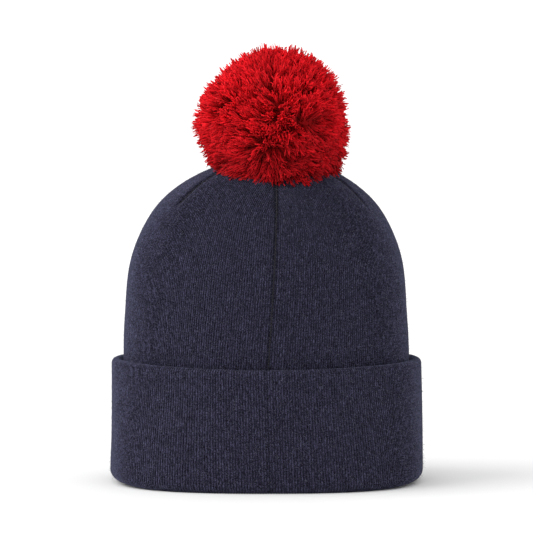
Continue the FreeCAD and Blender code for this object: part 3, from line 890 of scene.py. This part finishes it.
def knotted(name, low, high, thickness, lie):
    """A knot pulled tight, as wide and high as its solid: the cord crosses itself three times."""
    middle = (low + high) / 2
    wide = (high.x - low.x) / 2 - thickness
    tall = (high.z - low.z) / 2 - thickness
    run = []
    for step in range(knot_steps):
        turn = 2 * math.pi * step / knot_steps
        reach = wide * (0.62 + 0.38 * math.cos(3 * turn))
        way = 2 * turn + lie
        run.append(middle + Vector((reach * math.cos(way), reach * math.sin(way),
                                    tall * math.sin(3 * turn))))
    return cord_along(name, [run], dict(tie_cord, Radius=thickness), closed=True)


inner_knot = knotted("tie_knot_inside", inner_low, inner_high, cord_radius * 1.15, 0.4)
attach(inner_knot, "hat")
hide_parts("tie_knot_inner")
outer_knot = knotted("tie_knot_on_apex", outer_low, outer_high, cord_radius, 1.1)
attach(outer_knot, "tie")
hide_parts("tie_knot_outer")

neck_reach = (neck_high.x - neck_low.x) / 2 - cord_radius
neck = cord_along("tie_neck_cords", [
    straight_run((apex_x + side * tail_spread, 0, neck_low.z),
                 (apex_x + side * neck_reach, 0, neck_high.z), 24) for side in (-1, 1)], tie_cord)
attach(neck, "pom")
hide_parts("tie_neck")

binding_reach = binding_high.y - cord_radius
binding_levels = 3
level_steps = 48
winding = []
for step in range(binding_levels * level_steps + 1):
    turn = 2 * math.pi * step / level_steps
    part = step / (binding_levels * level_steps)
    rise = part * (binding_high.z - binding_low.z - 2 * cord_radius)
    winding.append((apex_x + binding_reach * math.cos(turn), binding_reach * math.sin(turn),
                    binding_low.z + cord_radius + rise))
binding = cord_along("pom_binding_cord", [winding], tie_cord)
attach(binding, "pom")
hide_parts("pom_binding")

# ---- Upper yarn of the pom-pom ----
# Several hundred lengths of red four-ply yarn, bound round the middle, fluffed out and trimmed
# to a low dome. Each cut end has opened into its plies, and whole tufts sweep one way or another.

pom_low, pom_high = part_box("pom_strands")
pom_radius = pom_high.y
pom_level = 0.2392
hem_level = pom_low.z
pom_rise = pom_high.z - pom_level
root_depth = 0.0125
fringe_bottom = 0.196

pom_red, pom_tree, pom_shader = material("pom_red")
yarn_part = add_node(pom_tree, "ShaderNodeAttribute", attribute_name="tip")
yarn_tone = add_node(pom_tree, "ShaderNodeAttribute", attribute_name="tone")
tuft_tone = add_node(pom_tree, "ShaderNodeMapRange", {
    "To Min": 0.70, "To Max": 1.10, "Value": yarn_tone.outputs["Fac"]})
# Painted shade: the yarn is darker towards its roots, deep in the pom-pom; each tuft also has a
# random tone of its own.
tone_and_root_shade = multiplied(pom_tree, 1.0, tone_ramp(pom_tree, yarn_part.outputs["Fac"],
                                           (0.330, 0.0022, 0.0040, 1),
                                           (0.900, 0.0110, 0.0200, 1), 0.10, 0.95), tuft_tone)
# Painted shade: the yarn nearest the hat is darkened, down to half its colour at the bottom of the
# fringe.
pom_place = pom_tree.nodes.new("ShaderNodeTexCoord")
pom_height = add_node(pom_tree, "ShaderNodeSeparateXYZ", {0: pom_place.outputs["Object"]})
painted_low_shade = add_node(pom_tree, "ShaderNodeMapRange", {
    "From Min": fringe_bottom, "From Max": pom_level, "To Min": 0.50, "To Max": 1.0,
    "Value": pom_height.outputs["Z"]})
feed(pom_tree, pom_shader, {
    "Base Color": multiplied(pom_tree, 1.0, tone_and_root_shade, painted_low_shade), "Roughness": 0.85,
    "Specular IOR Level": 0.08, "Sheen Weight": 0.10, "Sheen Tint": (1.0, 0.15, 0.15, 1)})


def cut_end(name, seed, plies=7, steps=4, length=0.0140, radius=0.00050):
    """One cut end of yarn along +Z: plies together at the root and open at the tip."""
    chance = np.random.default_rng(seed)
    points, faces, tips = [], [], []
    for ply_number in range(plies):
        turn = 2 * math.pi * ply_number / plies + chance.uniform(-0.5, 0.5)
        splay = length * chance.uniform(0.03, 0.15) * (0.35 if ply_number == 0 else 1.0)
        reach = length * chance.uniform(0.82, 1.08)
        curl = chance.uniform(-0.0008, 0.0008, 2)
        start = len(points)
        for step in range(steps + 1):
            part = step / steps
            opened = 0.0004 + splay * part ** 1.7
            bend = np.sin(part * math.pi * 1.4) * curl
            middle = (opened * math.cos(turn + part) + bend[0],
                      opened * math.sin(turn + part) + bend[1],
                      reach * part * (1 - 0.10 * part * splay / length))
            for side in range(3):
                corner = 2 * math.pi * side / 3 + part * 1.5
                thick = radius * (1.0 - 0.45 * part ** 3)
                points.append((middle[0] + thick * math.cos(corner),
                               middle[1] + thick * math.sin(corner), middle[2]))
                tips.append(part)
        for step in range(steps):
            for side in range(3):
                low = start + 3 * step + side
                ahead = start + 3 * step + (side + 1) % 3
                faces.append((low, ahead, ahead + 3, low + 3))
        faces.append((start + 3 * steps, start + 3 * steps + 1, start + 3 * steps + 2))
    end = mesh_object(name, points, faces)
    tip = end.data.attributes.new("tip", "FLOAT", "POINT")
    tip.data.foreach_set("value", tips)
    return end


def cut_yarn_tree():
    """Grows cut yarn ends from a root surface, in swept tufts, clear of the crown below."""
    tree, given, taken = new_geometry_tree("cut_yarn", [
        ("Ends per Area", "Float", 100000.0), ("Seed", "Int", 1), ("Sweep", "Float", 0.72),
        ("Sweep Size", "Float", 55.0), ("Jitter", "Float", 0.24), ("Comb", "Float", 0.42),
        ("Droop", "Float", 0.15), ("Whorl", "Vector", None), ("Low Whorl", "Vector", None),
        ("Shortest", "Float", 0.8), ("Longest", "Float", 1.15), ("Wave", "Float", 0.0016),
        ("Crown Base", "Float", 0.118), ("Crown Rise", "Float", 0.096),
        ("Crown Wide", "Float", 0.094), ("Crown Deep", "Float", 0.076),
        ("Clearance", "Float", 0.0012), ("Ends", "Collection", None),
        ("Yarn", "Material", None)])
    scatter = add_node(tree, "GeometryNodeDistributePointsOnFaces", {
        "Mesh": given["Geometry"], "Density": given["Ends per Area"],
        "Seed": given["Seed"]})
    place = tree.nodes.new("GeometryNodeInputPosition")
    sweep_noise = add_node(tree, "ShaderNodeTexNoise", {
        "Detail": 1.0, "Vector": place, "Scale": given["Sweep Size"]})
    sweep = vector_of(tree, "SUBTRACT", sweep_noise.outputs["Color"], (0.5, 0.5, 0.5))
    sweep = vector_of(tree, "SCALE", sweep, scale=sum_of(tree, "MULTIPLY", given["Sweep"], 4))
    jitter = random_value(tree, "FLOAT_VECTOR", (-1.0, -1.0, -1.0), (1.0, 1.0, 1.0),
                          given["Seed"])
    jitter = vector_of(tree, "SCALE", jitter, scale=given["Jitter"])
    way = vector_of(tree, "ADD", vector_of(tree, "ADD", scatter.outputs["Normal"], sweep), jitter)

    # The ends lie away from a whorl on one side of the pom-pom, and from a smaller one below it.
    off = vector_of(tree, "SUBTRACT", place, given["Whorl"])
    comb = vector_of(tree, "SCALE", vector_of(tree, "NORMALIZE", off), scale=given["Comb"])
    off_low = vector_of(tree, "SUBTRACT", place, given["Low Whorl"])
    far = sum_of(tree, "DIVIDE", vector_of(tree, "LENGTH", off_low), 0.020)
    near = sum_of(tree, "MULTIPLY", sum_of(tree, "MULTIPLY", far, far), -1)
    near = sum_of(tree, "EXPONENT", near)
    low_comb = vector_of(tree, "SCALE", vector_of(tree, "NORMALIZE", off_low), scale=near)
    weight = add_node(tree, "ShaderNodeCombineXYZ", {
        2: sum_of(tree, "MULTIPLY", given["Droop"], -1)})
    way = vector_of(tree, "ADD", way, vector_of(tree, "ADD", comb, low_comb))
    way = vector_of(tree, "ADD", way, weight)
    turn = add_node(tree, "FunctionNodeAlignRotationToVector", {"Vector": way}, axis="Z")
    roll = add_node(tree, "FunctionNodeRotateRotation", rotation_space="LOCAL")
    spin = add_node(tree, "ShaderNodeCombineXYZ", {
        2: random_value(tree, "FLOAT", 0.0, 2 * math.pi, 3)})
    feed(tree, roll, {0: turn, 1: spin})
    ends = add_node(tree, "GeometryNodeCollectionInfo", {
        "Separate Children": True, "Collection": given["Ends"]})
    stand = add_node(tree, "GeometryNodeInstanceOnPoints", {
        "Pick Instance": True, "Points": scatter.outputs["Points"], "Instance": ends,
        "Instance Index": random_value(tree, "INT", 0, 5, given["Seed"]),
        "Rotation": roll})
    size = add_node(tree, "ShaderNodeMapRange", {
        "Value": random_value(tree, "FLOAT", 0.0, 1.0, given["Seed"]),
        "To Min": given["Shortest"], "To Max": given["Longest"]})
    feed(tree, stand, {"Scale": size})
    tone = add_node(tree, "GeometryNodeStoreNamedAttribute", {
        "Name": "tone", "Geometry": stand,
        "Value": random_value(tree, "FLOAT", 0.0, 1.0, 11)}, data_type="FLOAT", domain="INSTANCE")
    real = add_node(tree, "GeometryNodeRealizeInstances", {0: tone})

    # A wave runs through neighbouring ends alike, and none of them dips into the crown.
    tip = add_node(tree, "GeometryNodeInputNamedAttribute", {"Name": "tip"}, data_type="FLOAT")
    wave_noise = add_node(tree, "ShaderNodeTexNoise", {"Scale": 230.0})
    here = tree.nodes.new("GeometryNodeInputPosition")
    feed(tree, wave_noise, {"Vector": here})
    wave = vector_of(tree, "SUBTRACT", wave_noise.outputs["Color"], (0.5, 0.5, 0.5))
    wave = vector_of(tree, "SCALE", wave, scale=sum_of(
        tree, "MULTIPLY", sum_of(tree, "MULTIPLY", tip, given["Wave"]), 4))
    waved = add_node(tree, "GeometryNodeSetPosition", {
        "Geometry": real, "Offset": wave})
    spot = tree.nodes.new("GeometryNodeInputPosition")
    split = add_node(tree, "ShaderNodeSeparateXYZ", {0: spot})
    wide = sum_of(tree, "DIVIDE", split.outputs[0], given["Crown Wide"])
    deep = sum_of(tree, "DIVIDE", split.outputs[1], given["Crown Deep"])
    left = sum_of(tree, "SUBTRACT", 1.0, sum_of(tree, "MULTIPLY", wide, wide))
    left = sum_of(tree, "SUBTRACT", left, sum_of(tree, "MULTIPLY", deep, deep))
    crown_top = sum_of(tree, "SQRT", sum_of(tree, "MAXIMUM", left, 0.0))
    crown_top = sum_of(tree, "MULTIPLY_ADD", crown_top, given["Crown Rise"], given["Crown Base"])
    floor_level = sum_of(tree, "ADD", crown_top, given["Clearance"])
    lifted = add_node(tree, "ShaderNodeCombineXYZ", {
        0: split.outputs[0], 1: split.outputs[1],
        2: sum_of(tree, "MAXIMUM", split.outputs[2], floor_level)})
    clear = add_node(tree, "GeometryNodeSetPosition", {
        "Geometry": waved, "Position": lifted})
    joined = add_node(tree, "GeometryNodeJoinGeometry", {0: given["Geometry"]})
    feed(tree, joined, {0: clear})
    finish_tree(tree, joined, taken, given["Yarn"])
    return tree


cut_yarn = cut_yarn_tree()
yarn_ends = bpy.data.collections.new("yarn_ends")
first_seed = 40
for number in range(6):
    end = cut_end("yarn_end_" + str(number), first_seed + number)
    scene.collection.objects.unlink(end)
    yarn_ends.objects.link(end)


def yarn_outline(part):
    """The pom-pom's trimmed outline, from the top of it at 0 to its lowest edge at 1."""
    stops = [(0.0, 0.0, pom_high.z)]
    for step in range(1, 13):
        turn = math.pi / 2 * (1 - step / 12)
        shoulder = 1 - 0.075 * math.sin(2 * turn)
        stops.append((0.60 * step / 12, pom_radius * math.cos(turn) * shoulder,
                      pom_level + (pom_rise - 0.001) * math.sin(turn)))
    stops += [(0.70, pom_radius * 0.975, 0.2290), (0.78, pom_radius * 0.945, hem_level),
              (0.88, pom_radius * 0.90, 0.2115), (0.95, pom_radius * 0.83, 0.2035),
              (1.0, pom_radius * 0.72, 0.1970)]
    at = [stop[0] for stop in stops]
    return [np.interp(part, at, [stop[column] for stop in stops]) for column in (1, 2)]


def root_surface(name, first, last, rows, start, sweep_angle, columns, closed_round):
    """The lumpy surface that the yarn ends stand on, root_depth inside the outline."""
    centre = Vector((apex_x, 0, 0.2290))
    points, faces = [], []
    for row in range(rows + 1):
        part = first + (last - first) * row / rows
        radius, height = (float(value) for value in yarn_outline(part))
        inward = Vector((radius, 0, height - centre.z))
        shrink = 1 - root_depth / max(inward.length, 0.02)
        for column in range(columns + (0 if closed_round else 1)):
            turn = start + sweep_angle * column / columns
            lump = 1 + 0.035 * math.sin(3 * turn + 9 * part)
            lump += 0.03 * math.sin(5 * turn - 14 * part + 2)
            hang = math.sin(turn) ** 2 * max(0.0, part - 0.74) / 0.26
            reach = radius * shrink * lump * (1 + 0.20 * hang)
            points.append((centre.x + reach * math.cos(turn), reach * math.sin(turn),
                           centre.z + inward.z * shrink * (1 + (lump - 1) * 0.5) - 0.008 * hang))
    width = columns if closed_round else columns + 1
    for row in range(rows):
        for column in range(columns):
            ahead = (column + 1) % width if closed_round else column + 1
            faces.append((row * width + column, (row + 1) * width + column,
                          (row + 1) * width + ahead, row * width + ahead))
    return mesh_object(name, points, faces)


def yarn_piece(name, roots, values):
    """Cut yarn grown from a root surface, clear of this hat's crown."""
    made = {"Ends": yarn_ends, "Yarn": pom_red, "Whorl": (apex_x + 0.018, -0.047, 0.238),
            "Low Whorl": (apex_x - 0.010, -0.046, 0.2165), "Crown Rise": hat_top - dome_base,
            "Crown Wide": shell_out, "Crown Deep": shell_out * depth_ratio}
    made.update(values)
    piece = grown(roots, cut_yarn, name, made)
    piece.data.shade_smooth()
    return piece


pom_bands = (("pom_yarn_top", 0.0, 0.34, 1), ("pom_yarn_shoulders", 0.34, 0.58, 2),
             ("pom_yarn_sides", 0.58, 0.78, 3))
for name, first, last, seed in pom_bands:
    roots = root_surface(name + "_roots", first, last, 12, 0.0, 2 * math.pi, 64, True)
    band = yarn_piece(name, roots, {"Ends per Area": 215000.0, "Seed": seed})
    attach(band, "pom")
    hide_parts("pom_strands")

# ---- Lowest yarn ----
# The ends at the bottom lie out over the crown and bend against it, in four tufts.

fringe_sides = {"right": 0.0, "front": math.pi / 2, "left": math.pi, "back": -math.pi / 2}
fringe_bands = (("low", 0.88, 1.0, 0.35), ("high", 0.77, 0.89, 0.25))
swaying = ("hat", "tie", 0.1990, 0.2170)
swaying_high = ("hat", "tie", 0.2000, 0.2270)
nodding = ("tie", "pom", 0.2060, 0.2240)
for place, (side, middle) in enumerate(fringe_sides.items()):
    for band, first, last, droop in fringe_bands:
        name = "pom_yarn_" + side + "_" + band
        roots = root_surface(name + "_roots", first, last, 4, middle - math.pi / 4, math.pi / 2,
                             20, False)
        tuft = yarn_piece(name, roots, {"Ends per Area": 240000.0, "Droop": droop,
                                        "Seed": 20 + 2 * place + (band == "high")})
        at_side = swaying_high if side in ("right", "left") else nodding
        below, above, start, end = swaying if band == "low" else at_side
        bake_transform(tuft)
        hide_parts("pom_fringe_" + side)
for end in list(yarn_ends.objects):
    bpy.data.objects.remove(end)

# ---- Size label ----
# A small plain woven damask label, its ends folded under, laid on the lining below the back seam.
# It is sewn down along its two short sides, with nothing written on it.

size_low, size_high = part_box("size_label")
tape_grey, tape_tree, tape_shader = material("tape_grey")
tape_uv = tape_tree.nodes.new("ShaderNodeTexCoord")
tape_warp, tape_weft = (
    add_node(tape_tree, "ShaderNodeTexWave", {
        "Scale": scale, "Distortion": 0.4, "Vector": tape_uv.outputs["Object"]},
        bands_direction=direction).outputs["Fac"]
    for scale, direction in ((900.0, "X"), (1300.0, "Z")))
tape_weave = sum_of(tape_tree, "MULTIPLY", tape_warp, tape_weft)
tape_bump = add_node(tape_tree, "ShaderNodeBump", {"Distance": 0.00004, "Height": tape_weave})
feed(tape_tree, tape_shader, {
    "Base Color": tone_ramp(tape_tree, tape_weave, (0.52, 0.53, 0.56, 1),
                            (0.80, 0.80, 0.81, 1)),
    "Normal": tape_bump, "Roughness": 0.38, "Sheen Weight": 0.2})


def closed_slab(name, front, back):
    """A closed sheet between two grids of points, front and back."""
    rows, columns = len(front), len(front[0])
    points = [point for grid in (front, back) for row in grid for point in row]
    faces = []
    half = rows * columns
    for row in range(rows - 1):
        for column in range(columns - 1):
            a = row * columns + column
            faces.append((a, a + 1, a + columns + 1, a + columns))
            faces.append((half + a, half + a + columns, half + a + columns + 1, half + a + 1))
    rim = list(range(columns))
    rim += [row * columns + columns - 1 for row in range(1, rows)]
    rim += [(rows - 1) * columns + column for column in range(columns - 2, -1, -1)]
    rim += [row * columns for row in range(rows - 2, 0, -1)]
    for place, a in enumerate(rim):
        b = rim[(place + 1) % len(rim)]
        faces.append((b, a, half + a, half + b))
    slab = mesh_object(name, points, faces)
    face_outwards(slab.data)
    return slab


def on_lining(across, height, stand):
    """A point that far inside the lining's inner face, at a place across the back."""
    reach = lining_in - stand
    angle = BACK + math.asin(across / reach)
    return Vector((reach * math.cos(angle), reach * depth_ratio * math.sin(angle), height))


def label_grid(stand, swell):
    """Points over the size label: slightly swollen between its stitched ends, edges drawn in."""
    grid = []
    for row in range(13):
        v = row / 12
        line = []
        for column in range(41):
            u = column / 40
            across = size_low.x + (size_high.x - size_low.x) * u
            edge = min(1.0, min(v, 1 - v) / 0.06, min(u, 1 - u) / 0.03)
            lift = swell * math.sin(math.pi * u) * (0.6 + 0.4 * math.sin(math.pi * v)) * 0.4
            height = size_low.z + (size_high.z - size_low.z) * v
            line.append(on_lining(across, height, 0.00025 + stand * (0.55 + 0.45 * edge) + lift))
        grid.append(line)
    return grid


size_tape = closed_slab("size_label_tape", label_grid(0.0007, 0.0004), label_grid(0.00002, 0.0004))
size_tape.data.materials.append(tape_grey)
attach(size_tape, "hat")
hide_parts("size_label")

# ---- Stitches of the size label ----
# Bars of navy sewing thread over each short side, four to a side.

tack_low, tack_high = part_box("size_label_stitches")
bar_runs = []
for side in (-1, 1):
    for row in range(4):
        level = tack_low.z + 0.0003 + (tack_high.z - tack_low.z - 0.0006) * row / 3
        middle = side * (size_high.x - 0.0022)
        run = []
        for step in range(9):
            part = step / 8
            rise = 0.00125 * math.sin(math.pi * part) ** 0.5 if 0 < part < 1 else 0.0004
            run.append(on_lining(middle - 0.0011 + 0.0022 * part, level, max(rise, 0.0004)))
        bar_runs.append(run)
tack_cord = {"Radius": 0.00022, "Lay": 0.0009, "Spacing": 0.0002, "Section Points": 6,
             "Cord": seam_navy}
size_bars = cord_along("size_label_bar_stitches", bar_runs, tack_cord)
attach(size_bars, "hat")
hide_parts("size_label_stitches")

# ---- Care label ----
# A white satin tape folded in two, its ends caught in the lining's back seam, so that it turns
# like a page. It is blank.

care_low, care_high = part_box("care_label")
care_rest = math.radians(9.0)
care_leaf = 0.0240
care_wall = 0.00035
care_apart = 0.00030
care_hinge = Vector((0.0, -lining_in * depth_ratio + 0.0010, 0.0))
care_path = [(0.0002 + care_leaf * step / 16, care_apart) for step in range(17)]
care_path += [(care_leaf + care_apart * math.sin(turn), care_apart * math.cos(turn))
              for turn in (math.pi * step / 8 for step in range(1, 8))]
care_path += [(0.0002 + care_leaf * (1 - step / 16), -care_apart) for step in range(17)]


def care_grid(offset):
    """Points over the folded tape, one side of its thickness, with a slight curl along it."""
    grid = []
    for row in range(17):
        v = row / 16
        line = []
        for place, (along, aside) in enumerate(care_path):
            before = Vector(care_path[max(place - 1, 0)])
            after = Vector(care_path[min(place + 1, len(care_path) - 1)])
            way = (after - before).normalized()
            out = Vector((-way.y, way.x)) * offset
            curl = 0.0010 * (along / care_leaf) ** 2 * (0.4 + 0.6 * math.sin(math.pi * v + 0.5))
            x = along + out.x
            y = aside + out.y + curl
            line.append(care_hinge + Vector((x * math.cos(care_rest) - y * math.sin(care_rest),
                                             x * math.sin(care_rest) + y * math.cos(care_rest),
                                             care_low.z + (care_high.z - care_low.z) * v)))
        grid.append(line)
    return grid


care_tape = closed_slab("care_label_tape", care_grid(care_wall / 2), care_grid(-care_wall / 2))
care_tape.data.materials.append(tape_grey)
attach(care_tape, "care_tape")
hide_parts("care_label")

# ---- Tacks of the care label ----
# A few turns of sewing thread just above and just below the tape hold its ends in the seam.

care_tack_low, care_tack_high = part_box("care_label_tacks")
tack_runs = []
for low in (care_tack_low.z, care_tack_high.z - 0.0030):
    run = []
    for step in range(31):
        part = step / 30
        side = 0.00045 * (1 if step % 2 else -1)
        run.append(Vector((side, care_hinge.y - 0.0003 + 0.0002 * math.sin(40 * part),
                           low + 0.0002 + 0.0026 * part)))
    tack_runs.append(run)
care_tacks = cord_along("care_label_tack_stitches", tack_runs, tack_cord)
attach(care_tacks, "hat")
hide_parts("care_label_tacks")
